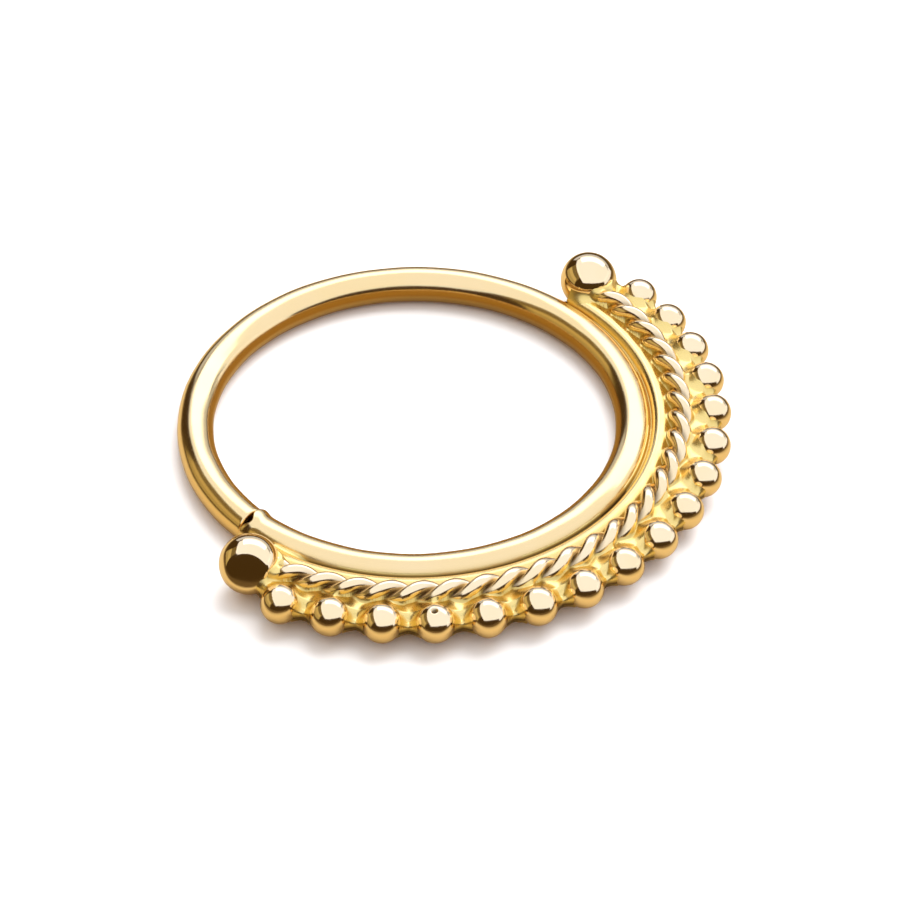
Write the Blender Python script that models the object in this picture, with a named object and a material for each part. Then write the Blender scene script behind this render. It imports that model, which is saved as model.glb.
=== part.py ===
"""A beaded gold nose ring lying flat on a table: a round wire hoop, closed by a hairline seam, whose front
half carries a crescent of ornament. A flat backing plate runs along the outside of the hoop. On it sit a
plain shoulder wire, a twisted wire, an outer row of granules, and a larger ball at each end.
All of it is soldered, so it is one solid.

Metres, +Z up. The ornament's middle faces -Y. The origin is under the middle of the outline, on the table.
Angles along the ring are taken about the hoop's axis from -Y, and grow towards +X.
"""

import math

import bmesh
import bpy
from mathutils import Matrix, Vector

MM = 0.001

# The hoop: a round wire bent to a circle, its ends meeting at the seam.
INNER_DIAMETER = 10.0 * MM
WIRE_DIAMETER = 0.92 * MM
SEAM_GAP = 0.08 * MM
SEAM_PAST_BALL = 1.02 * MM

# The backing plate, let into the hoop's outer side.
PLATE_THICKNESS = 0.28 * MM
PLATE_TOP_RISE = 0.22 * MM
PLATE_SINK = 0.30 * MM
PLATE_LIP = 0.08 * MM

# The plain shoulder wire between the hoop and the twisted wire.
SHOULDER_DIAMETER = 0.50 * MM
SHOULDER_SINK = 0.07 * MM
SHOULDER_PROUD = 0.17 * MM

# The twisted wire: two strands soldered on the plate's top, against the shoulder wire.
TWIST_DIAMETER = 0.56 * MM
TWIST_PITCH = 1.48 * MM
TWIST_OVERLAP = 0.03 * MM
TWIST_SINK = 0.06 * MM
TWIST_WAIST = 0.26 * MM

# The granules along the plate's outer edge.
BEAD_COUNT = 17
BEAD_DIAMETER = 0.94 * MM
BEAD_GAP = 0.30 * MM
BEAD_TO_TWIST_GAP = 0.07 * MM
BEAD_LIFT = 0.15 * MM

# The larger ball at each end of the ornament.
BALL_DIAMETER = 1.46 * MM
BALL_TO_BEAD_GAP = 0.19 * MM
BALL_TO_HOOP_GAP = 0.14 * MM
BALL_LIFT = 0.34 * MM

# How finely the round shapes are divided.
HOOP_STEPS = 84
HOOP_SIDES = 14
BEAD_SIDES = 12
BEAD_RINGS = 8
BALL_SIDES = 18
BALL_RINGS = 10
ARC_STEPS = 44
SHOULDER_BEVEL_RESOLUTION = 2
STEPS_PER_TURN = 10
STRAND_PROFILE_POINTS = 12
WELD_DISTANCE = 0.00005 * MM
SHARP_ANGLE = math.radians(50)

# Radii from the hoop's axis, worked out from the inside to the outside.
wire_radius = WIRE_DIAMETER / 2
hoop_radius = INNER_DIAMETER / 2 + wire_radius
hoop_outside = hoop_radius + wire_radius
shoulder_radius = hoop_outside - SHOULDER_SINK + SHOULDER_DIAMETER / 2
twist_radius = shoulder_radius + SHOULDER_DIAMETER / 2 - TWIST_OVERLAP + TWIST_DIAMETER / 2
bead_radius = BEAD_DIAMETER / 2
bead_circle = twist_radius + TWIST_DIAMETER / 2 + BEAD_TO_TWIST_GAP + bead_radius
ball_radius = BALL_DIAMETER / 2
ball_circle = hoop_outside + BALL_TO_HOOP_GAP + ball_radius

# Heights above the table. The hoop lies on one flat of its many-sided section.
hoop_height = wire_radius * math.cos(math.pi / HOOP_SIDES)
plate_top = hoop_height + PLATE_TOP_RISE
plate_middle = plate_top - PLATE_THICKNESS / 2
shoulder_height = plate_top + SHOULDER_PROUD - SHOULDER_DIAMETER / 2
twist_height = plate_top - TWIST_SINK + TWIST_DIAMETER / 2
bead_height = plate_middle + BEAD_LIFT
ball_height = plate_middle + BALL_LIFT

# Angles from the ornament's middle.
bead_step = 2 * math.asin((BEAD_DIAMETER + BEAD_GAP) / 2 / bead_circle)
last_bead_angle = bead_step * (BEAD_COUNT - 1) / 2
ball_reach = ball_radius + bead_radius + BALL_TO_BEAD_GAP
ball_reach_seen_from_above = math.sqrt(ball_reach**2 - (ball_height - bead_height) ** 2)
ball_angle = last_bead_angle + math.acos(
    (ball_circle**2 + bead_circle**2 - ball_reach_seen_from_above**2) / (2 * ball_circle * bead_circle)
)
seam_angle = -ball_angle - SEAM_PAST_BALL / hoop_radius

# The hoop's centre sits so that the outline's middle is over the origin.
front_reach = bead_circle + bead_radius
hoop_centre = Vector((0, (front_reach - hoop_outside) / 2, 0))


def place(radius, angle, height):
    """The point at this radius from the hoop's axis, at this angle and height."""
    return hoop_centre + Vector((radius * math.sin(angle), -radius * math.cos(angle), height))


def new_collection(name):
    made = bpy.data.collections.new(name)
    bpy.context.scene.collection.children.link(made)
    return made


def move_to(collection, thing):
    for old in list(thing.users_collection):
        old.objects.unlink(thing)
    collection.objects.link(thing)
    return thing


def as_helper(thing):
    """Marks a piece that is soldered on or cut away, so that it isn't drawn by itself."""
    thing.hide_render = True
    thing.display_type = "WIRE"
    return move_to(helpers, thing)


def polyline(name, points, tilts=None, cyclic=False):
    """A curve object of one straight-sided spline through these points."""
    curve = bpy.data.curves.new(name, "CURVE")
    curve.dimensions = "3D"
    spline = curve.splines.new("POLY")
    spline.points.add(len(points) - 1)
    for index, point in enumerate(points):
        spline.points[index].co = (*point, 1)
        spline.points[index].tilt = tilts[index] if tilts else 0
    spline.use_cyclic_u = cyclic
    thing = bpy.data.objects.new(name, curve)
    bpy.context.scene.collection.objects.link(thing)
    return thing


def mesh_of(curve_object):
    """The curve object made a mesh, with its caps welded on. The curve is removed."""
    bpy.context.view_layer.update()
    graph = bpy.context.evaluated_depsgraph_get()
    mesh = bpy.data.meshes.new_from_object(curve_object.evaluated_get(graph))
    work = bmesh.new()
    work.from_mesh(mesh)
    bmesh.ops.remove_doubles(work, verts=work.verts, dist=WELD_DISTANCE)
    bmesh.ops.recalc_face_normals(work, faces=work.faces)
    work.to_mesh(mesh)
    work.free()
    made = bpy.data.objects.new(curve_object.name + "_mesh", mesh)
    made.matrix_world = curve_object.matrix_world
    bpy.data.objects.remove(curve_object)
    bpy.context.scene.collection.objects.link(made)
    return made


def arc(radius, height, end_angle, steps):
    """Points along the ring at this radius and height, from -end_angle to +end_angle."""
    angles = [end_angle * (2 * step / steps - 1) for step in range(steps + 1)]
    return [place(radius, angle, height) for angle in angles]


def make_hoop():
    bpy.ops.mesh.primitive_torus_add(
        major_segments=HOOP_STEPS,
        minor_segments=HOOP_SIDES,
        major_radius=hoop_radius,
        minor_radius=wire_radius,
        location=hoop_centre + Vector((0, 0, hoop_height)),
    )
    return bpy.context.object


def make_seam_cutter():
    """A thin box across the wire, where its two ends meet."""
    bpy.ops.mesh.primitive_cube_add(size=1, location=place(hoop_radius, seam_angle, hoop_height))
    cutter = bpy.context.object
    cutter.name = "seam"
    cutter.rotation_euler.z = seam_angle
    cutter.scale = (SEAM_GAP, 2 * WIRE_DIAMETER, 2 * WIRE_DIAMETER)
    return cutter


def make_plate():
    """A flat crescent: an inner arc inside the hoop's wire, and an outer arc just past the granules' centres."""
    inner = arc(hoop_outside - PLATE_SINK, 0, ball_angle, ARC_STEPS)
    outer = arc(bead_circle + PLATE_LIP, 0, last_bead_angle, ARC_STEPS)
    ends = [place(ball_circle, side * ball_angle, 0) for side in (1, -1)]
    outline = polyline("plate", [*inner, ends[0], *reversed(outer), ends[1]], cyclic=True)
    outline.data.dimensions = "2D"
    outline.data.fill_mode = "BOTH"
    outline.data.extrude = PLATE_THICKNESS / 2
    outline.location.z = plate_middle
    return mesh_of(outline)


def make_shoulder():
    wire = polyline("shoulder", arc(shoulder_radius, shoulder_height, ball_angle, ARC_STEPS))
    wire.data.bevel_depth = SHOULDER_DIAMETER / 2
    wire.data.bevel_resolution = SHOULDER_BEVEL_RESOLUTION
    wire.data.use_fill_caps = True
    return mesh_of(wire)


def strand_profile():
    """The section of two strands lying side by side: two touching circles, their waist filled with solder."""
    points = []
    for index in range(STRAND_PROFILE_POINTS):
        angle = 2 * math.pi * index / STRAND_PROFILE_POINTS
        reach = max(TWIST_DIAMETER / 2 * abs(math.cos(angle)), TWIST_WAIST / 2)
        points.append(Vector((reach * math.cos(angle), reach * math.sin(angle), 0)))
    profile = polyline("strand_profile", points, cyclic=True)
    profile.data.dimensions = "2D"
    return profile


def make_twist():
    """The two strands' section carried along the arc, turning once in each pitch, left-handed."""
    turns = 2 * ball_angle * twist_radius / TWIST_PITCH
    steps = round(turns * STEPS_PER_TURN)
    tilts = [-2 * math.pi * turns * step / steps for step in range(steps + 1)]
    profile = strand_profile()
    wire = polyline("twist", arc(twist_radius, twist_height, ball_angle, steps), tilts)
    wire.data.twist_mode = "Z_UP"
    wire.data.bevel_mode = "OBJECT"
    wire.data.bevel_object = profile
    wire.data.use_fill_caps = True
    made = mesh_of(wire)
    bpy.data.objects.remove(profile)
    return made


def make_spheres(name, centres, radius, sides, rings):
    """One mesh of equal balls that stay clear of each other."""
    mesh = bpy.data.meshes.new(name)
    work = bmesh.new()
    for centre in centres:
        bmesh.ops.create_uvsphere(
            work, u_segments=sides, v_segments=rings, radius=radius, matrix=Matrix.Translation(centre)
        )
    work.to_mesh(mesh)
    work.free()
    made = bpy.data.objects.new(name, mesh)
    bpy.context.scene.collection.objects.link(made)
    return made


def make_beads():
    angles = [bead_step * index - last_bead_angle for index in range(BEAD_COUNT)]
    centres = [place(bead_circle, angle, bead_height) for angle in angles]
    return make_spheres("beads", centres, bead_radius, BEAD_SIDES, BEAD_RINGS)


def make_balls():
    centres = [place(ball_circle, side * ball_angle, ball_height) for side in (-1, 1)]
    return make_spheres("balls", centres, ball_radius, BALL_SIDES, BALL_RINGS)


def combine(body, piece, operation, solver="EXACT"):
    """Solders a piece to the body, or cuts it away."""
    modifier = body.modifiers.new(piece.name, "BOOLEAN")
    modifier.operation = operation
    modifier.solver = solver
    modifier.object = as_helper(piece)


def gold():
    material = bpy.data.materials.new("gold")
    material.use_nodes = True
    shader = material.node_tree.nodes["Principled BSDF"]
    shader.inputs["Base Color"].default_value = (0.86, 0.60, 0.22, 1)
    shader.inputs["Metallic"].default_value = 1.0
    shader.inputs["Roughness"].default_value = 0.18
    return material


for old_object in list(bpy.data.objects):
    bpy.data.objects.remove(old_object)
parts = new_collection("nose_ring")
helpers = new_collection("soldered_pieces")

ring = move_to(parts, make_hoop())
ring.name = "nose_ring"
ring.data.materials.append(gold())
combine(ring, make_seam_cutter(), "DIFFERENCE")
for make_piece in (make_plate, make_shoulder, make_balls, make_beads):
    combine(ring, make_piece(), "UNION")
# The twist grazes all the other pieces, and there the exact solver can leave open edges.
combine(ring, make_twist(), "UNION", solver="MANIFOLD")
ring.data.shade_smooth()
ring.data.set_sharp_from_angle(angle=SHARP_ANGLE)
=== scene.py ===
"""The finished look of a beaded gold nose ring that lies on a white table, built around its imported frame.

Metres, +Z up. The ornament's middle faces -Y. Angles along the ring are taken about the hoop's axis from -Y,
and grow towards +X. The sections follow the order in which a goldsmith puts the ring together.
"""

import math

import bpy
import numpy as np
from mathutils import Matrix, Vector


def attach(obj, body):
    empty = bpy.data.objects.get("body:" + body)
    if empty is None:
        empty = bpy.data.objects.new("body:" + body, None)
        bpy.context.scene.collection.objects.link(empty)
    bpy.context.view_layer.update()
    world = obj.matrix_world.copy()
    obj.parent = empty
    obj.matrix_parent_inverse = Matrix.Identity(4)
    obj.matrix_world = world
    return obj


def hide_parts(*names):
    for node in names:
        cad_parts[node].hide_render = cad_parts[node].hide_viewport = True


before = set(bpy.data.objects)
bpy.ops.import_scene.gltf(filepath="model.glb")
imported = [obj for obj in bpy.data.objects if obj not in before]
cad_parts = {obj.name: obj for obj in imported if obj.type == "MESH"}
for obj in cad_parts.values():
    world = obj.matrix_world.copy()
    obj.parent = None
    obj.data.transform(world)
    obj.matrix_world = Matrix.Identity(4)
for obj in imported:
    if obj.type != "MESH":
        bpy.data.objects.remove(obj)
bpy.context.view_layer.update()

mm = 0.001
scene = bpy.context.scene

# The camera looks down on the ring from in front of its left end, through a long lens close by,
# with the ring's middle a little left of and above the picture's.
CAMERA_AZIMUTH = math.radians(-52.1)
CAMERA_ELEVATION = math.radians(41.6)
CAMERA_DISTANCE = 81.9 * mm
LENS = 131.4
CLIP_START = 1 * mm
HOOP_CENTRE = (0, 0.985 * mm, 0)
AIM_HEIGHT = 0.45 * mm
AIM_TO_THE_RIGHT = 0.88 * mm
AIM_DOWNWARD = 0.71 * mm

to_camera_level = Vector((math.sin(CAMERA_AZIMUTH), -math.cos(CAMERA_AZIMUTH), 0))
to_camera = to_camera_level * math.cos(CAMERA_ELEVATION) + Vector((0, 0, math.sin(CAMERA_ELEVATION)))
picture_right = Vector((math.cos(CAMERA_AZIMUTH), math.sin(CAMERA_AZIMUTH), 0))
picture_up = to_camera.cross(picture_right)
ring_middle = Vector(HOOP_CENTRE) + Vector((0, 0, AIM_HEIGHT))
aim = ring_middle + picture_right * AIM_TO_THE_RIGHT - picture_up * AIM_DOWNWARD
camera_turn = Matrix((picture_right, picture_up, to_camera)).transposed()
camera_data = bpy.data.cameras.new("camera")
camera_data.lens = LENS
camera_data.clip_start = CLIP_START
camera = bpy.data.objects.new("camera", camera_data)
camera.matrix_world = Matrix.Translation(aim + to_camera * CAMERA_DISTANCE) @ camera_turn.to_4x4()
scene.collection.objects.link(camera)
scene.camera = camera
scene.view_settings.view_transform = "Standard"

# The studio: a broad cool softbox overhead that reaches far to the right, two behind the ring, one at its
# right and two dimmer warm ones at its left, in a dark warm room. Polished gold shows little more than these.
ROOM_COLOUR = (0.060, 0.036, 0.012, 1)
BACKDROP_COLOUR = (1.0, 1.0, 1.0, 1)
COOL_WHITE = (0.98, 1.17, 1.86)
WARM_WHITE = (1.0, 0.88, 0.50)


def softbox(name, place, facing, width, depth, radiance, colour):
    """A rectangular light at this place, facing this way, both told as right, away from the camera and up.
    Every point of it sends out this radiance: power over area and pi."""
    lamp = bpy.data.lights.new(name, "AREA")
    lamp.shape = "RECTANGLE"
    lamp.size = width
    lamp.size_y = depth
    lamp.energy = radiance * math.pi * width * depth
    lamp.color = colour
    light = bpy.data.objects.new(name, lamp)
    studio = Matrix((picture_right, -to_camera_level, Vector((0, 0, 1)))).transposed()
    behind = -(studio @ Vector(facing)).normalized()
    sideways = (-to_camera_level).cross(behind).normalized()
    turn = Matrix((sideways, behind.cross(sideways), behind)).transposed()
    light.matrix_world = Matrix.Translation(studio @ Vector(place)) @ turn.to_4x4()
    light.visible_camera = False
    scene.collection.objects.link(light)
    return light


softbox(
    "overhead_softbox",
    place=(0.46, -0.04, 0.30),
    facing=(0, 0, -1),
    width=1.48,
    depth=1.08,
    radiance=1.06,
    colour=COOL_WHITE,
)
softbox(
    "back_softbox",
    place=(0.16, 0.34, 0.28),
    facing=(0, -0.6, -0.8),
    width=0.60,
    depth=0.26,
    radiance=1.10,
    colour=COOL_WHITE,
)
softbox(
    "low_back_softbox",
    place=(0.35, 0.64, 0.20),
    facing=(0, -1, -0.3),
    width=1.40,
    depth=0.20,
    radiance=0.6,
    colour=COOL_WHITE,
)
softbox(
    "right_softbox",
    place=(1.20, 0.15, 0.16),
    facing=(-1, 0, 0),
    width=0.30,
    depth=1.30,
    radiance=1.05,
    colour=COOL_WHITE,
)
softbox(
    "left_softbox",
    place=(-0.80, 0.05, 0.24),
    facing=(1, 0, 0),
    width=0.40,
    depth=1.00,
    radiance=0.42,
    colour=WARM_WHITE,
)
softbox(
    "left_fill",
    place=(-0.62, 0.0, 0.42),
    facing=(0.8, 0, -0.6),
    width=0.50,
    depth=0.90,
    radiance=0.15,
    colour=WARM_WHITE,
)
# A seventh lamp, behind the ring, throws its short shadows towards the camera. The metal doesn't reflect it.
lamp_behind = softbox(
    "lamp_behind",
    place=(0.15, 0.22, 0.45),
    facing=(-0.15, -0.22, -0.45),
    width=0.42,
    depth=0.42,
    radiance=3.6,
    colour=COOL_WHITE,
)
lamp_behind.visible_glossy = False


class Socket:
    """A shader socket that counts as a value: each sum or product of it adds its own Math node."""

    def __init__(self, finish, output):
        self.finish = finish
        self.output = output

    def maths(self, operation, other):
        return self.finish.node("ShaderNodeMath", {"operation": operation}, {0: self, 1: other})

    def __add__(self, other):
        return self.maths("ADD", other)

    def __mul__(self, other):
        return self.maths("MULTIPLY", other)

    __radd__ = __add__
    __rmul__ = __mul__


class Finish:
    """The nodes of a material, or of the room. One method adds them all."""

    def __init__(self, owner):
        owner.use_nodes = True
        self.tree = owner.node_tree

    def node(self, kind, settings=None, values=None, output=0):
        """Adds a node of this kind, then its settings, then its sockets' values or links."""
        made = self.tree.nodes.new(kind)
        for name, value in (settings or {}).items():
            setattr(made, name, value)
        self.fill(made, values or {})
        return Socket(self, made.outputs[output])

    def fill(self, node, values):
        """Links each of these sockets of a node to a value that varies, or sets one that doesn't."""
        for name, value in values.items():
            if isinstance(value, Socket):
                self.tree.links.new(value.output, node.inputs[name])
            else:
                node.inputs[name].default_value = value

    def mix(self, share, colour, other_colour):
        """The first colour, turned into the other one by this share."""
        sockets = {0: share, 6: colour, 7: other_colour}
        return self.node("ShaderNodeMix", {"data_type": "RGBA"}, sockets, output=2)


world = bpy.data.worlds.new("studio")
scene.world = world
room = Finish(world)
room_seen = room.node("ShaderNodeLightPath", output="Is Camera Ray")
room.fill(room.tree.nodes["Background"], {"Color": room.mix(room_seen, ROOM_COLOUR, BACKDROP_COLOUR)})

# The table: a plain white sheet, matt, wide enough to fill every view. It is overexposed, which leaves only
# short warm shadows, so the camera sees it brighter than the metal does. In the metal its colour holds
# painted
# light and shade: bright close round the ring, where the light falls, dim inside the hoop, which shades it,
# and dark farther out.
TABLE_SIDE = 3.0
TABLE_ROUGHNESS = 0.9
TABLE_WHITE = (0.60, 0.44, 0.20, 1)
TABLE_IN_THE_DARK = (0.10, 0.06, 0.02, 1)
TABLE_SHADED = (0.25, 0.125, 0.022, 1)
TABLE_OVEREXPOSED = (1.09, 0.92, 0.60, 1)
TABLE_SHADED_TO = 4.5 * mm
TABLE_LIT_FROM = 5.3 * mm
TABLE_LIT_TO = 9.2 * mm
TABLE_DARK_FROM = 13.2 * mm

half = TABLE_SIDE / 2
table_corners = [(-half, -half, 0), (half, -half, 0), (half, half, 0), (-half, half, 0)]
table_mesh = bpy.data.meshes.new("table")
table_mesh.from_pydata(table_corners, [], [(0, 1, 2, 3)])
table = bpy.data.objects.new("table", table_mesh)
scene.collection.objects.link(table)

white_table = bpy.data.materials.new("white_table")
table_finish = Finish(white_table)
table_place = table_finish.node("ShaderNodeTexCoord", output="Object")
from_centre = table_finish.node(
    "ShaderNodeVectorMath", {"operation": "DISTANCE"}, {0: table_place, 1: HOOP_CENTRE}, output="Value"
)


def farther_out(start, end):
    """A share that grows evenly with the distance from the hoop's axis: 0 up to the start, 1 from the end."""
    distances = {"Value": from_centre, "From Min": start, "From Max": end}
    return table_finish.node("ShaderNodeMapRange", None, distances)


# Painted light and shade in the table's colour off the metal: shaded inside the hoop, lit round the ring,
# dark farther out.
table_colour = table_finish.mix(farther_out(TABLE_SHADED_TO, TABLE_LIT_FROM), TABLE_SHADED, TABLE_WHITE)
table_colour = table_finish.mix(farther_out(TABLE_LIT_TO, TABLE_DARK_FROM), table_colour, TABLE_IN_THE_DARK)
table_seen = table_finish.node("ShaderNodeLightPath", output="Is Camera Ray")
table_finish.fill(
    table_finish.tree.nodes["Principled BSDF"],
    {
        "Base Color": table_finish.mix(table_seen, table_colour, TABLE_OVEREXPOSED),
        "Roughness": TABLE_ROUGHNESS,
        "Specular IOR Level": 0.0,
    },
)
table_mesh.materials.append(white_table)

# The hoop: round gold wire, bent to a circle until its two ends meet at a seam beside the left ball. Both
# ends are rounded by filing, the ornament's end stands up as a lip, and the cut gapes at its inner side.
INNER_DIAMETER = 10.0 * mm
WIRE_DIAMETER = 0.92 * mm
SEAM_GAP = 0.02 * mm
SEAM_GAPE = 0.17 * mm
SEAM_GAPE_LENGTH = 0.24 * mm
SEAM_GAPE_SIDE = math.radians(67)
SEAM_GAPE_SHARPNESS = 14
SEAM_ANGLE = math.radians(-97.3)
FILED_EDGE = 0.05 * mm
LIP = 0.055 * mm
LIP_LENGTH = 0.16 * mm
HOOP_WAVER = 0.008 * mm
LONG_WAVES = 9
LONG_WAVE_SHARE = 0.5
SHORT_WAVES = 23
SHORT_WAVE_SHARE = 0.3
HOOP_STEPS = 820
HOOP_SIDES = 72
CAP_STEPS = 12

wire_radius = WIRE_DIAMETER / 2
hoop_radius = INNER_DIAMETER / 2 + wire_radius
hoop_outside = hoop_radius + wire_radius
hoop_centre = np.array(HOOP_CENTRE)


def ring_point(radius, angle, height):
    """Points at this radius from the hoop's axis, at this angle and height."""
    level = np.stack(np.broadcast_arrays(radius * np.sin(angle), -radius * np.cos(angle), height), axis=-1)
    return level + hoop_centre


def ring_place(points):
    """Radius, angle and height of each point about the hoop's axis: ring_point taken backwards."""
    out = points - hoop_centre
    return np.hypot(out[..., 0], out[..., 1]), np.arctan2(out[..., 0], -out[..., 1]), out[..., 2]


def tube(radius, angle, height, thickness, sides):
    """A round wire along the ring: each section is a circle in the plane through the hoop's axis.
    Gives its points, one row for each angle, and the directions that point out of it."""
    turn = np.linspace(0, -2 * np.pi, sides, endpoint=False)
    outward = ring_point(np.cos(turn), angle[:, None], np.sin(turn)) - hoop_centre
    middle = ring_point(radius, angle, height)
    return middle[:, None, :] + thickness * outward, outward


def skin(name, surfaces, ends):
    """One mesh of closed surfaces. Each surface is a grid of points whose rows are rings, and its first and
    last ring close on its two end points."""
    count, rows, sides, _ = surfaces.shape
    ring = np.arange(rows * sides).reshape(rows, sides)
    lower, upper = ring[:-1], ring[1:]
    quads = np.stack((lower, np.roll(lower, -1, axis=1), np.roll(upper, -1, axis=1), upper), axis=-1)
    first, last = rows * sides, rows * sides + 1
    start = np.stack((np.roll(ring[0], -1), ring[0], np.full(sides, first)), axis=-1)
    finish = np.stack((ring[-1], np.roll(ring[-1], -1), np.full(sides, last)), axis=-1)
    vertices = np.concatenate((surfaces.reshape(count, -1, 3), ends), axis=1)
    shift = (np.arange(count) * vertices.shape[1])[:, None, None]
    fans = np.concatenate((start, finish)) + shift
    faces = [*(quads.reshape(-1, 4) + shift).reshape(-1, 4).tolist(), *fans.reshape(-1, 3).tolist()]
    mesh = bpy.data.meshes.new(name)
    mesh.from_pydata(vertices.reshape(-1, 3).tolist(), [], faces)
    mesh.shade_smooth()
    made = bpy.data.objects.new(name, mesh)
    scene.collection.objects.link(made)
    return made


# The wire's sections, from the seam round to the seam. Those over the filed edges lie close together.
cap = np.linspace(0, np.pi / 2, CAP_STEPS, endpoint=False)
cap_length = FILED_EDGE / hoop_radius
hoop_start = SEAM_ANGLE + SEAM_GAP / 2 / hoop_radius
hoop_end = hoop_start + 2 * np.pi - SEAM_GAP / hoop_radius
between_caps = hoop_end - hoop_start - 2 * cap_length
hoop_angle = np.concatenate(
    (
        hoop_start + cap_length * (1 - np.cos(cap)),
        hoop_start + cap_length + between_caps * np.linspace(0, 1, HOOP_STEPS),
        hoop_end - cap_length * (1 - np.cos(cap[::-1])),
    )
)
from_start = (hoop_angle - hoop_start) * hoop_radius
filed = FILED_EDGE * (np.sin(cap) - 1)
hoop_thickness = wire_radius + np.concatenate((filed, np.zeros(HOOP_STEPS), filed[::-1]))
hoop_thickness += LIP * np.exp(-(((from_start - FILED_EDGE) / LIP_LENGTH) ** 2))
long_waver = LONG_WAVE_SHARE * np.sin(LONG_WAVES * hoop_angle + 1)
short_waver = SHORT_WAVE_SHARE * np.sin(SHORT_WAVES * hoop_angle)
hoop_thickness += HOOP_WAVER * (long_waver + short_waver - (LONG_WAVE_SHARE + SHORT_WAVE_SHARE))
hoop_points, hoop_outward = tube(
    hoop_radius, hoop_angle, wire_radius, hoop_thickness[:, None, None], HOOP_SIDES
)

# The gape opens the ornament's end of the wire on its inner side. Nothing passes below the table.
hoop_turn = np.linspace(0, -2 * np.pi, HOOP_SIDES, endpoint=False)
facing_gape = np.maximum(np.cos(hoop_turn - SEAM_GAPE_SIDE), 0)
gape = SEAM_GAPE * facing_gape**SEAM_GAPE_SHARPNESS / hoop_radius
near_start = np.exp(-((from_start / SEAM_GAPE_LENGTH) ** 2))
round_radius, round_angle, round_height = ring_place(hoop_points)
hoop_points = ring_point(round_radius, round_angle + near_start[:, None] * gape, np.maximum(round_height, 0))
hoop_ends = ring_point(hoop_radius, hoop_angle[[0, -1]], wire_radius)
hoop = skin("hoop", hoop_points[None], hoop_ends[None])


def off_hoop(points):
    """Distance from the hoop's wire: distance from its centre line, less its radius."""
    radius, _, height = ring_place(points)
    return np.hypot(radius - hoop_radius, height - wire_radius) - wire_radius


HOOP_GOLD = (0.89, 0.61, 0.25, 1)
DEEP_GOLD = (0.88, 0.57, 0.15, 1)
# The dark brown of painted shade, laid in the groove, the twist's slots, the pinhole and under the plate's
# edge.
PAINTED_SHADE_BROWN = (0.09, 0.045, 0.012, 1)
CLOUD_SIZE = 1.6 * mm
CLOUD_DETAIL = 2.0
CLOUD_SHARE = 0.5
LINE_SIZE = 0.05 * mm
LINE_DETAIL = 3.0
LINE_SQUEEZE = (1, 1, 4)
LINE_DEPTH = 0.02
LINE_ROUGHNESS = 0.06
DENT_DETAIL = 1.0
RECESS_ROUGHNESS = 0.12
PAINTED_SHADE_ROUGHNESS = 0.25


def polished_gold(name, colour, deep_colour, roughness, dents, dent_size):
    """Yellow gold polished by hand: its colour varies in broad clouds and deepens in the recesses as painted
    shade, where it is also rougher; it turns dark brown where painted shade is kept for grooves, slots and
    edges; fine polishing lines break up the gloss, and shallow dents of this depth and size bend the
    reflections."""
    material = bpy.data.materials.new(name)
    finish = Finish(material)

    def noise(place, size, detail):
        """Cloudy noise, its patches about this large."""
        return finish.node("ShaderNodeTexNoise", None, {"Vector": place, "Scale": 1 / size, "Detail": detail})

    def kept(attribute):
        """What the skin keeps for each of its points under this name."""
        return finish.node("ShaderNodeAttribute", {"attribute_name": attribute}, output="Fac")

    place = finish.node("ShaderNodeTexCoord", output="Object")
    squeezed = finish.node("ShaderNodeMapping", None, {"Vector": place, "Scale": LINE_SQUEEZE})
    cloud = noise(place, CLOUD_SIZE, CLOUD_DETAIL)
    lines = noise(squeezed, LINE_SIZE, LINE_DETAIL)
    swell = noise(place, dent_size, DENT_DETAIL)
    recess = kept("recess")
    # Where painted shade is kept: the colour turns dark brown there and the gold is rougher.
    painted_shade = kept("painted_shade")
    tint = finish.mix(cloud * CLOUD_SHARE, colour, deep_colour)
    # Painted shade: the colour deepens towards the deeper gold in the recesses.
    tint = finish.mix(recess, tint, deep_colour)
    dented = finish.node("ShaderNodeBump", None, {"Height": swell + LINE_DEPTH * lines, "Distance": dents})
    worn = roughness + LINE_ROUGHNESS * lines + RECESS_ROUGHNESS * recess + PAINTED_SHADE_ROUGHNESS * painted_shade
    finish.fill(
        finish.tree.nodes["Principled BSDF"],
        {
            "Base Color": finish.mix(painted_shade, tint, PAINTED_SHADE_BROWN),
            "Metallic": 1.0,
            "Roughness": worn,
            "Normal": dented,
        },
    )
    return material


hoop.data.materials.append(
    polished_gold("hoop_gold", HOOP_GOLD, DEEP_GOLD, roughness=0.14, dents=0.014 * mm, dent_size=1.2 * mm)
)
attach(hoop, "root")
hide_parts("nose_ring")

# The backing plate: a crescent of gold sheet soldered to the hoop's outer side, which carries the ornament.
# Its outer edge is filed round and shows between the granules as a thin lip. Its ends are under the balls.
PLATE_WIDTH = 1.58 * mm
PLATE_THICKNESS = 0.28 * mm
PLATE_TOP_RISE = 0.22 * mm
PLATE_SINK = 0.12 * mm
PLATE_EDGE = 0.07 * mm
PLATE_END_RADIUS = 6.79 * mm
PLATE_END = math.radians(86.58)
PLATE_NARROWS = math.radians(76.69)
PLATE_STEPS = 1080
PLATE_TOP_POINTS = 66
PLATE_EDGE_POINTS = 9
PLATE_BOTTOM_POINTS = 10

plate_top = wire_radius + PLATE_TOP_RISE
plate_middle = plate_top - PLATE_THICKNESS / 2
plate_inner = hoop_outside - PLATE_SINK


def plate_outer(angle):
    """The plate's outer radius: even along the granules, then narrowing to the ball's centre at each end."""
    share = np.clip((np.abs(angle) - PLATE_NARROWS) / (PLATE_END - PLATE_NARROWS), 0, 1)
    return (hoop_outside + PLATE_WIDTH) * (1 - share) + PLATE_END_RADIUS * share


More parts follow.
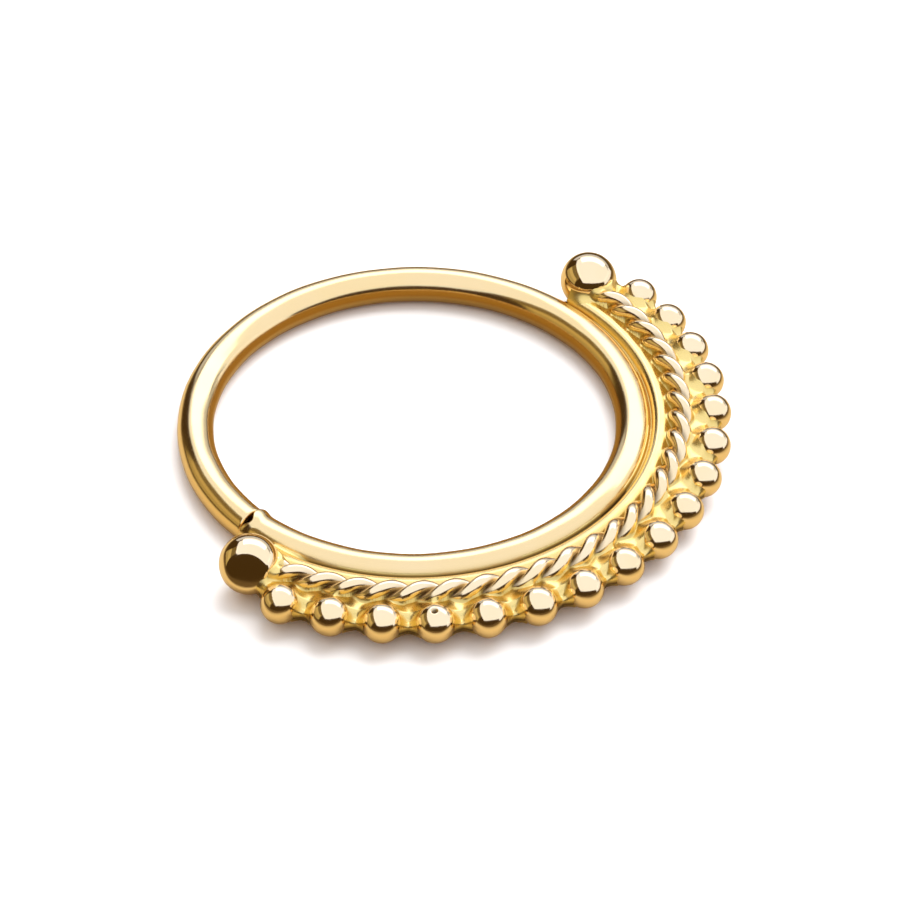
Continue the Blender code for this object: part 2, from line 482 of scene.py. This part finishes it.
def off_plate(points):
    """Distance from the plate: a flat box in the section, its outer edge rounded, which ends at the balls."""
    radius, angle, height = ring_place(points)
    middle = (plate_inner + plate_outer(angle)) / 2
    across = np.abs(radius - middle) - (plate_outer(angle) - plate_inner) / 2 + PLATE_EDGE
    upward = np.abs(height - plate_middle) - PLATE_THICKNESS / 2 + PLATE_EDGE
    onward = (np.abs(angle) - PLATE_END) * radius + PLATE_EDGE
    outside = np.sqrt(np.maximum(across, 0) ** 2 + np.maximum(upward, 0) ** 2 + np.maximum(onward, 0) ** 2)
    return outside + np.minimum(np.maximum(np.maximum(across, upward), onward), 0) - PLATE_EDGE


# The plate's section runs outwards over its top, round its outer edge and back under it.
plate_angle = np.linspace(-PLATE_END, PLATE_END, PLATE_STEPS)
edge_turn = np.linspace(np.pi / 2, -np.pi / 2, PLATE_EDGE_POINTS)
edge_outward = np.stack((np.cos(edge_turn), np.sin(edge_turn)), axis=-1)
top_outward = np.tile((0.0, 1.0), (PLATE_TOP_POINTS, 1))
bottom_outward = np.tile((0.0, -1.0), (PLATE_BOTTOM_POINTS, 1))
section_out = np.concatenate((top_outward, edge_outward, bottom_outward))
top_share = np.linspace(0, 1, PLATE_TOP_POINTS, endpoint=False)
bottom_share = np.linspace(1, 0, PLATE_BOTTOM_POINTS + 1)[1:]
section_share = np.concatenate((top_share, np.ones(PLATE_EDGE_POINTS), bottom_share))
plate_straight = plate_outer(plate_angle)[:, None] - PLATE_EDGE - plate_inner
plate_radius = plate_inner + plate_straight * section_share + PLATE_EDGE * section_out[:, 0]
plate_height = plate_middle + (PLATE_THICKNESS / 2 - PLATE_EDGE) * np.sign(section_out[:, 1])
plate_height = plate_height + PLATE_EDGE * section_out[:, 1]
plate_points = ring_point(plate_radius, plate_angle[:, None], plate_height)
plate_outward = ring_point(section_out[:, 0], plate_angle[:, None], section_out[:, 1]) - hoop_centre
plate_ends = ring_point((plate_inner + plate_outer(PLATE_END)) / 2, plate_angle[[0, -1]], plate_middle)
backing_plate = skin("backing_plate", plate_points[None], plate_ends[None])

SOLDER_GOLD = (0.97, 0.68, 0.20, 1)
DEEP_SOLDER_GOLD = (0.74, 0.47, 0.09, 1)
backing_plate.data.materials.append(
    polished_gold(
        "plate_gold", SOLDER_GOLD, DEEP_SOLDER_GOLD, roughness=0.22, dents=0.005 * mm, dent_size=0.5 * mm
    )
)
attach(backing_plate, "root")
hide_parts("nose_ring")

# The shoulder wire: a thin plain round gold wire, soldered on the plate along the hoop's outer side.
# It fills the step between the thick hoop and the ornament.
SHOULDER_DIAMETER = 0.46 * mm
SHOULDER_SINK = 0.03 * mm
SHOULDER_PROUD = 0.17 * mm
SHOULDER_STEPS = 700
SHOULDER_SIDES = 32

shoulder_radius = hoop_outside - SHOULDER_SINK + SHOULDER_DIAMETER / 2
shoulder_height = plate_top + SHOULDER_PROUD - SHOULDER_DIAMETER / 2
wire_angle = np.linspace(-PLATE_END, PLATE_END, SHOULDER_STEPS)
shoulder_points, shoulder_outward = tube(
    shoulder_radius, wire_angle, shoulder_height, SHOULDER_DIAMETER / 2, SHOULDER_SIDES
)
shoulder_ends = ring_point(shoulder_radius, wire_angle[[0, -1]], shoulder_height)
shoulder = skin("shoulder_wire", shoulder_points[None], shoulder_ends[None])


def off_shoulder(points):
    """Distance from the shoulder wire, which ends inside the balls."""
    radius, angle, height = ring_place(points)
    across, upward = radius - shoulder_radius, height - shoulder_height
    past = np.maximum(np.abs(angle) - PLATE_END, 0) * radius
    return np.sqrt(across**2 + upward**2 + past**2) - SHOULDER_DIAMETER / 2


SHOULDER_GOLD = (0.96, 0.66, 0.22, 1)
shoulder.data.materials.append(
    polished_gold(
        "shoulder_gold", SHOULDER_GOLD, DEEP_GOLD, roughness=0.16, dents=0.008 * mm, dent_size=0.6 * mm
    )
)
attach(shoulder, "root")
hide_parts("nose_ring")

# The twisted wire: two strands of round gold wire, twisted together left-handed. It is laid on the plate
# against the shoulder wire and soldered down, with both its ends under the balls.
TWIST_DIAMETER = 0.56 * mm
TWIST_PITCH = 1.48 * mm
TWIST_OVERLAP = 0.03 * mm
TWIST_SINK = 0.06 * mm
STRAND_OFFSET = 0.138 * mm
STRAND_DIAMETER = 0.326 * mm
STRAND_STEPS = 1300
STRAND_SIDES = 22

twist_radius = shoulder_radius + SHOULDER_DIAMETER / 2 - TWIST_OVERLAP + TWIST_DIAMETER / 2
twist_height = plate_top - TWIST_SINK + TWIST_DIAMETER / 2
strand_angle = np.linspace(-PLATE_END, PLATE_END, STRAND_STEPS)


def strand_turn(angle):
    """How far the two strands have turned about each other: once in each pitch, left-handed."""
    return 2 * np.pi * (angle + PLATE_END) * twist_radius / TWIST_PITCH


def strand(side):
    """A round wire along a helix about the twist's own line. Its section stays square to the helix."""
    turn = strand_turn(strand_angle)
    line = ring_point(
        twist_radius + side * STRAND_OFFSET * np.cos(turn),
        strand_angle,
        twist_height + side * STRAND_OFFSET * np.sin(turn),
    )
    forward = np.gradient(line, axis=0)
    forward /= np.linalg.norm(forward, axis=1, keepdims=True)
    first = np.cross(forward, (0, 0, 1))
    first /= np.linalg.norm(first, axis=1, keepdims=True)
    second = np.cross(first, forward)
    around = np.linspace(0, -2 * np.pi, STRAND_SIDES, endpoint=False)[:, None]
    outward = first[:, None] * np.cos(around) + second[:, None] * np.sin(around)
    return line[:, None] + STRAND_DIAMETER / 2 * outward, outward, line[[0, -1]]


strands = [strand(side) for side in (1, -1)]
twist_points, twist_outward, twist_ends = (np.stack(parts) for parts in zip(*strands))
twist = skin("twisted_wire", twist_points, twist_ends)


def off_strand(points, side):
    """Distance from one strand, on this side of the twist's line, in the section through the hoop's axis."""
    radius, angle, height = ring_place(points)
    turn = strand_turn(angle)
    across, upward = radius - twist_radius, height - twist_height
    sideways = across * np.cos(turn) + upward * np.sin(turn) - side * STRAND_OFFSET
    upright = upward * np.cos(turn) - across * np.sin(turn)
    past = np.maximum(np.abs(angle) - PLATE_END, 0) * radius
    return np.sqrt(sideways**2 + upright**2 + past**2) - STRAND_DIAMETER / 2


def off_twist(points):
    """Distance from the nearer strand."""
    return np.minimum(off_strand(points, 1), off_strand(points, -1))


GOLD = (0.97, 0.71, 0.36, 1)
twist.data.materials.append(
    polished_gold("twist_gold", GOLD, DEEP_GOLD, roughness=0.12, dents=0.006 * mm, dent_size=0.4 * mm)
)
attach(twist, "root")
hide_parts("nose_ring")

# The granules: seventeen small balls of melted gold along the plate's outer edge, soldered down.
# No two are quite the same shape, and the fourth from the left has a pinhole in its top.
BEAD_COUNT = 17
BEAD_DIAMETER = 0.94 * mm
BEAD_GAP = 0.30 * mm
BEAD_CENTRE_FROM_EDGE = 0.08 * mm
BEAD_LIFT = 0.15 * mm
BEAD_SIDES = 80
BEAD_RINGS = 56
BEAD_UNEVENNESS = 0.020
WAVE_COUNT = 5
WAVE_SPREAD = 1.9
PINHOLE_BEAD = 3
PINHOLE_DEPTH = 0.08 * mm
PINHOLE_WIDTH = 0.15
PINHOLE_PLACE = (-0.04, 0.68, 0.73)


def ball_surfaces(centres, radius, sides, rings, unevenness, seed):
    """Balls about these centres, each a sphere whose radius swells and sinks by a share of itself along a few
    broad waves, whose directions and phases are drawn from the seed."""
    turn = np.linspace(0, 2 * np.pi, sides, endpoint=False)
    tilt = np.linspace(-np.pi / 2, np.pi / 2, rings + 2)[:, None]
    right, away, up = np.cos(tilt) * np.cos(turn), np.cos(tilt) * np.sin(turn), np.sin(tilt)
    outward = np.stack(np.broadcast_arrays(right, away, up), axis=-1)
    draw = np.random.default_rng(seed)
    waves = draw.normal(0, WAVE_SPREAD, (len(centres), WAVE_COUNT, 3))
    phases = draw.uniform(0, 2 * np.pi, (len(centres), WAVE_COUNT))
    swell = np.sin(np.einsum("rsc,nwc->nrsw", outward, waves) + phases[:, None, None]).mean(axis=-1)
    points = centres[:, None, None] + radius * (1 + unevenness * swell[..., None]) * outward
    outward = np.broadcast_to(outward, points.shape)
    return points[:, 1:-1].copy(), outward[:, 1:-1], np.stack((points[:, 0, 0], points[:, -1, 0]), axis=1)


def way_in_picture(right, up, near):
    """The direction that points this much to the picture's right, up in it and towards the camera."""
    return np.array(right * picture_right + up * picture_up + near * to_camera)


def pinhole(outward):
    """How far a bead's point is in the pinhole, by the direction that points out of the bead there: 1 in its
    middle, falling steeply to 0 round it."""
    from_middle = np.linalg.norm(outward - way_in_picture(*PINHOLE_PLACE), axis=-1, keepdims=True)
    return np.exp(-((from_middle / PINHOLE_WIDTH) ** 4))


def keep(piece, name, values, end_values):
    """Keeps a number for each point of a skin under this name, and one for each end point of its surfaces."""
    kept = np.concatenate((values.reshape(len(values), -1), end_values), axis=1)
    piece.data.attributes.new(name, "FLOAT", "POINT").data.foreach_set("value", kept.ravel())


bead_radius = BEAD_DIAMETER / 2
bead_circle = hoop_outside + PLATE_WIDTH - BEAD_CENTRE_FROM_EDGE
bead_height = plate_middle + BEAD_LIFT
bead_step = 2 * math.asin((BEAD_DIAMETER + BEAD_GAP) / 2 / bead_circle)
last_bead_angle = bead_step * (BEAD_COUNT - 1) / 2
bead_angles = bead_step * np.arange(BEAD_COUNT) - last_bead_angle
bead_centres = ring_point(bead_circle, bead_angles, bead_height)
bead_points, bead_outward, bead_ends = ball_surfaces(
    bead_centres, bead_radius, BEAD_SIDES, BEAD_RINGS, BEAD_UNEVENNESS, seed=4
)
bead_top = np.array((0, 0, 1))
in_pinhole = pinhole(bead_outward[PINHOLE_BEAD])
bead_points[PINHOLE_BEAD] -= PINHOLE_DEPTH * in_pinhole * bead_outward[PINHOLE_BEAD]
bead_ends[PINHOLE_BEAD, 1] -= PINHOLE_DEPTH * pinhole(bead_top) * bead_top
granules = skin("granules", bead_points, bead_ends)
# Painted shade: the fourth granule's pinhole is kept dark brown.
bead_painted_shade = np.zeros((BEAD_COUNT, BEAD_RINGS, BEAD_SIDES))
bead_painted_shade[PINHOLE_BEAD] = in_pinhole[..., 0]
bead_end_painted_shade = np.zeros((BEAD_COUNT, 2))
bead_end_painted_shade[PINHOLE_BEAD, 1] = pinhole(bead_top)[0]
keep(granules, "painted_shade", bead_painted_shade, bead_end_painted_shade)


def from_bead(points):
    """The way to each point from the centre of the nearest granule, the one whose angle is the nearest."""
    _, angle, _ = ring_place(points)
    nearest = np.clip(np.rint((angle + last_bead_angle) / bead_step), 0, BEAD_COUNT - 1).astype(int)
    return points - bead_centres[nearest]


def off_beads(points):
    """Distance from the nearest granule, at its thinnest."""
    return np.linalg.norm(from_bead(points), axis=-1) - bead_radius * (1 - BEAD_UNEVENNESS)


granules.data.materials.append(
    polished_gold("granule_gold", GOLD, DEEP_GOLD, roughness=0.09, dents=0.016 * mm, dent_size=0.5 * mm)
)
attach(granules, "root")
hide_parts("nose_ring")

# The end balls: two larger balls of melted gold, one soldered over each end of the ornament against the hoop.
# The left one was tapped home, which left a shallow flat on its front.
BALL_DIAMETER = 1.46 * mm
BALL_TO_HOOP_GAP = 0.14 * mm
BALL_LIFT = 0.34 * mm
BALL_SIDES = 120
BALL_RINGS = 80
BALL_UNEVENNESS = 0.006
FLAT_FACES = (-0.09, -0.27, 0.958)
FLAT_FROM = 0.74
FLAT_KEEPS = 0.17
FLAT_BLEND = 0.03

ball_radius = BALL_DIAMETER / 2
ball_circle = hoop_outside + BALL_TO_HOOP_GAP + ball_radius
ball_height = plate_middle + BALL_LIFT
ball_centres = ring_point(ball_circle, np.array((-PLATE_END, PLATE_END)), ball_height)
ball_points, ball_outward, ball_ends = ball_surfaces(
    ball_centres, ball_radius, BALL_SIDES, BALL_RINGS, BALL_UNEVENNESS, seed=9
)
flat_way = way_in_picture(*FLAT_FACES)
flat_height = (ball_points[0] - ball_centres[0]) @ flat_way / ball_radius - FLAT_FROM
past_flat = FLAT_BLEND * np.logaddexp(0, flat_height / FLAT_BLEND) * (1 - FLAT_KEEPS)
ball_points[0] -= ball_radius * past_flat[..., None] * flat_way
end_balls = skin("end_balls", ball_points, ball_ends)


def off_balls(points):
    """Distance from the nearer end ball, the left one cut off a little under its flat."""
    left, right = (np.linalg.norm(points - centre, axis=-1) - ball_radius for centre in ball_centres)
    off_flat = (points - ball_centres[0]) @ flat_way - ball_radius * (FLAT_FROM - FLAT_BLEND)
    return np.minimum(np.maximum(left, off_flat), right)


end_balls.data.materials.append(
    polished_gold("ball_gold", GOLD, DEEP_GOLD, roughness=0.05, dents=0.012 * mm, dent_size=0.9 * mm)
)
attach(end_balls, "root")
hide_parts("nose_ring")

# The solder: gold solder that ran over the plate, filled the valley between the twisted wire and the
# granules, and drew up to every piece in a hollow curve. Near the left ball it fills the hoop's groove too.
FILLET = 0.24 * mm
TWIST_FILLET = 0.10 * mm
GROOVE_FILLET = 0.015 * mm
FILLED_GROOVE = 0.22 * mm
GROOVE_OPENS = math.radians(-79)
GROOVE_OPENS_OVER = math.radians(1.5)
GROOVE_REACH = 6.10 * mm
GROOVE_DEPTH = 0.12 * mm
POOL_RISE = 0.15 * mm
POOL_START = 6.40 * mm
POOL_END = 7.37 * mm
POOL_INNER_SLOPE = 0.36 * mm
POOL_OUTER_SLOPE = 0.17 * mm
SOLDER_RISE = 0.46 * mm
SOLDER_DROP_IN_BEAD = 0.30 * mm
SOLDER_AT_EDGE = 0.10 * mm
SOLDER_UNDER_SKIN = 0.005 * mm
SOLDER_STEPS = 44


def joined(first, second, fillet):
    """Two distances joined as a rounded union: where both are under the fillet's radius, the surface is a
    quarter circle that touches both pieces."""
    corner = np.hypot(np.maximum(fillet - first, 0), np.maximum(fillet - second, 0))
    return np.maximum(fillet, np.minimum(first, second)) - corner


def groove_fillet(points):
    """The fillet between hoop and shoulder wire: wide beside the left ball, then closing to a sharp groove
    along a logistic curve."""
    angle = ring_place(points)[1]
    closing = 1 + np.exp((angle - GROOVE_OPENS) / GROOVE_OPENS_OVER)
    return GROOVE_FILLET + (FILLED_GROOVE - GROOVE_FILLET) / closing


def solder_surface(points):
    """Distance from the solder: the rounded union of the plate, raised where solder pools between the twisted
    wire and the lip and kept clear of the groove, with all that stands on it, each a hair thinner than it is,
    so that the solder ends just under its skin."""
    radius = ring_place(points)[0]
    inner, outer = (radius - POOL_START) / POOL_INNER_SLOPE, (POOL_END - radius) / POOL_OUTER_SLOPE
    pool = np.clip(np.minimum(inner, outer), 0, 1)
    clear_of_groove = np.clip((GROOVE_REACH - radius) / GROOVE_DEPTH, 0, 1) * FILLET * 2
    off_pool = off_plate(points) - POOL_RISE * pool**2 * (3 - 2 * pool) + clear_of_groove
    gap = off_hoop(points) + SOLDER_UNDER_SKIN
    gap = joined(gap, off_shoulder(points) + SOLDER_UNDER_SKIN, groove_fillet(points))
    gap = joined(gap, off_pool, FILLET)
    gap = joined(gap, off_twist(points) + SOLDER_UNDER_SKIN, TWIST_FILLET)
    gap = joined(gap, off_beads(points) + SOLDER_UNDER_SKIN, FILLET)
    return joined(gap, off_balls(points) + SOLDER_UNDER_SKIN, FILLET)


# The plate's skin starts above the solder, or outside it at the plate's edge, and comes in until it lies on
# it. Inside a granule it stays low.
plate_up = np.maximum(plate_outward[..., 2], 0) ** 0.5
in_bead = np.maximum(1 - np.linalg.norm(from_bead(plate_points)[..., :2], axis=-1) / bead_radius, 0)
solder_limit = (SOLDER_RISE - SOLDER_DROP_IN_BEAD * in_bead) * plate_up + SOLDER_AT_EDGE * (1 - plate_up)
solder_floor = -GROOVE_DEPTH * plate_up * (ring_place(plate_points)[0] < GROOVE_REACH)
depth = solder_limit.copy()
for _ in range(SOLDER_STEPS):
    gap = solder_surface(plate_points + depth[..., None] * plate_outward)
    depth = np.clip(depth - gap, solder_floor, solder_limit)
plate_points = plate_points + depth[..., None] * plate_outward
plate_vertices = np.concatenate((plate_points.reshape(-1, 3), plate_ends))
backing_plate.data.vertices.foreach_set("co", plate_vertices.ravel())
backing_plate.data.update()

# Painted shade in the recesses: the gold is deeper in colour there, and dark brown painted shade lies
# in the open groove beside the hoop, in the slots of the twisted wire and on the lower part of the plate's
# edge.
RECESS_WAYS = (0.12 * mm, 0.3 * mm)
PAINTED_SHADE_WIDTH = 0.10 * mm
PAINTED_SHADE_FADES = math.radians(12)
PAINTED_SHADE_FADES_OVER = math.radians(3)
PAINTED_SHADE_FADES_BY = 0.8
STRAND_SHADE_WIDTH = 0.17 * mm
STRAND_SHADE_REACH = 0.4
SLOT_CONTRAST = 1.7
SLOT_THRESHOLD = 0.4
LOW_STRAND_SHADE = 0.5
LIP_BRIGHT = 0.02 * mm
LIP_DARK_FROM = 7.20 * mm
LIP_DARK_OVER = 0.05 * mm
LIP_SHADE = 0.95


def write_recess(piece, points, outward, neighbours):
    """Keeps how deep in a recess each point of a skin lies: the share of a short way out of the skin that
    its neighbours leave closed, averaged over two such ways."""
    closed = np.zeros(points.shape[:-1])
    for way in RECESS_WAYS:
        probe = points + way * outward
        room_left = np.min([off(probe) for off in neighbours], axis=0)
        closed += np.clip(1 - room_left / way, 0, 1) / len(RECESS_WAYS)
    keep(piece, "recess", closed, np.zeros((len(points), 2)))


def groove_shade_share(angle):
    """How strong the painted shade in the groove beside the hoop is: none near the left ball, where solder
    fills the groove, and a fifth of its full strength right of the middle, with a logistic curve at each
    change."""
    opened = 1 / (1 + np.exp((GROOVE_OPENS - angle) / GROOVE_OPENS_OVER))
    return opened * (1 - PAINTED_SHADE_FADES_BY / (1 + np.exp((PAINTED_SHADE_FADES - angle) / PAINTED_SHADE_FADES_OVER)))


def write_painted_shade(piece, points):
    """Keeps where dark brown painted shade lies: close to both the hoop and the shoulder wire while their
    groove is open, close to both strands of the twist and along their lower side, on the side of the
    granules, and on the lower part of the plate's outer edge."""
    radius, angle, height = ring_place(points)
    beside_hoop = np.abs(off_hoop(points)) + np.abs(off_shoulder(points))
    # Painted shade in the open groove between hoop and shoulder wire.
    in_groove = groove_shade_share(angle) * np.exp(-((beside_hoop / PAINTED_SHADE_WIDTH) ** 2))
    between_strands = np.abs(off_strand(points, 1)) + np.abs(off_strand(points, -1))
    outer_side = np.clip((radius - twist_radius) / STRAND_DIAMETER + STRAND_SHADE_REACH, 0, 1)
    low = np.clip((twist_height + STRAND_OFFSET / 2 - height) / STRAND_OFFSET, 0, 1)
    on_twist = np.exp(-((off_twist(points) / PAINTED_SHADE_WIDTH) ** 2))
    # Painted shade between the two strands and along their lower side, on the granules' side.
    slot = np.maximum(
        np.exp(-((between_strands / STRAND_SHADE_WIDTH) ** 2)), LOW_STRAND_SHADE * low * on_twist
    )
    in_slot = outer_side * np.clip(SLOT_CONTRAST * slot - SLOT_THRESHOLD, 0, 1)
    # Painted shade on the lower part of the plate's outer edge, under its bright lip.
    under_lip = np.clip((plate_top - LIP_BRIGHT - height) / LIP_DARK_OVER, 0, 1) * (radius > LIP_DARK_FROM)
    over_back = np.clip((height - plate_top + PLATE_THICKNESS) / LIP_DARK_OVER, 0, 1)
    painted_shade = np.maximum(np.maximum(in_groove, in_slot), LIP_SHADE * under_lip * over_back)
    keep(piece, "painted_shade", painted_shade, np.zeros((len(points), 2)))


write_recess(
    backing_plate,
    plate_points[None],
    plate_outward[None],
    [off_hoop, off_shoulder, off_twist, off_beads, off_balls],
)
write_recess(hoop, hoop_points[None], hoop_outward[None], [off_shoulder, off_plate, off_balls])
write_recess(
    shoulder, shoulder_points[None], shoulder_outward[None], [off_hoop, off_plate, off_twist, off_balls]
)
write_recess(twist, twist_points, twist_outward, [off_shoulder, off_plate, off_balls, off_beads])
write_recess(granules, bead_points, bead_outward, [off_plate, off_twist, off_balls])
write_recess(end_balls, ball_points, ball_outward, [off_hoop, off_plate, off_shoulder, off_twist, off_beads])
write_painted_shade(backing_plate, plate_points[None])
write_painted_shade(hoop, hoop_points[None])
write_painted_shade(shoulder, shoulder_points[None])
write_painted_shade(twist, twist_points)
